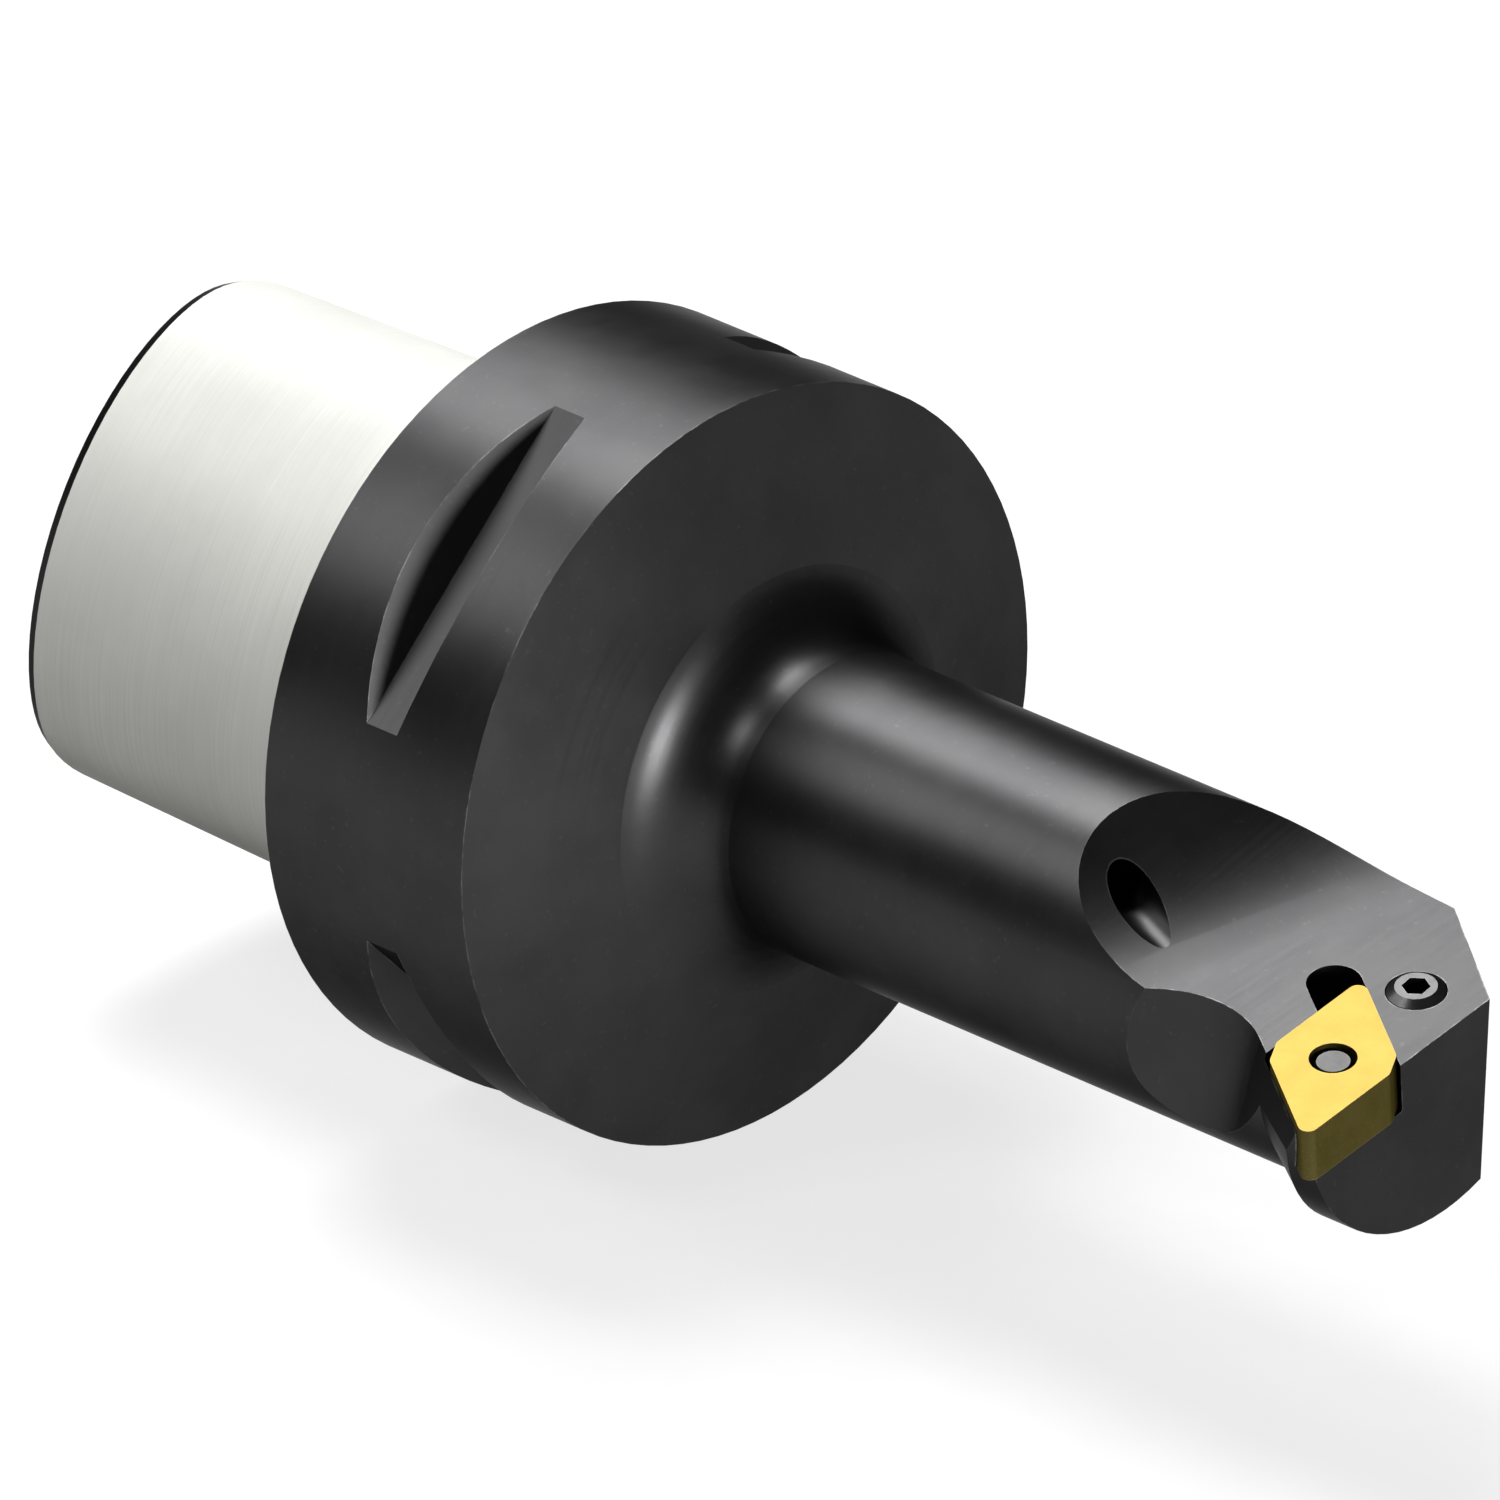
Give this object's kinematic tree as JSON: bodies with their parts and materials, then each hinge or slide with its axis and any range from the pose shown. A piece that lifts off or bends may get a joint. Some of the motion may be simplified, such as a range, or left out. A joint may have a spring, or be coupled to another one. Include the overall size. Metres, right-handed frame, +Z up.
{
  "type": "turning tool holder",
  "caption": "Boring bar on a polygon taper shank with a gripper flange, a coolant outlet and a lever clamp that holds a rhombic cutting insert in its head.",
  "frame": {"origin": "centre of the flange's rear face, where the taper shank begins, on the axis of the bar", "axes": "+X along the bar towards the cutting end, +Z up through a lobe of the shank and square to the tool's base plane, the insert cuts on the -Y side"},
  "size_m": [0.138, 0.063, 0.063],
  "materials": {
    "holder_steel": "black oxide, with the taper shank and flange face ground bright",
    "coated_carbide": "gold coloured coating on ground carbide",
    "lever_steel": "hardened steel, blackened",
    "screw_steel": "hardened steel, blackened"
  },
  "bodies": {
    "holder": {"holder_body": "holder_steel"},
    "insert": {"insert": "coated_carbide"},
    "lever": {"clamp_lever": "lever_steel"},
    "screw": {"lever_screw": "screw_steel"}
  },
  "joints": [
    {"name": "screw_travel", "type": "slide", "parent": "holder", "child": "screw", "axis": [-0.1143, 0.184, -0.9762], "range_m": [-0.00035, 0.00035]},
    {"name": "lever_rock", "type": "hinge", "parent": "holder", "child": "lever", "pos_m": [0.09372, -0.00717, -0.00789], "axis": [-0.9863, -0.1385, 0.0894], "range_deg": [-2.3, 2.3]},
    {"name": "insert_lift", "type": "slide", "parent": "holder", "child": "insert", "axis": [0.1143, -0.184, 0.9762], "range_m": [0, 0.008]}
  ],
  "couplings": [
    {"joint": "lever_rock", "follows": "screw_travel", "rad_per_m": 113.6}
  ]
}
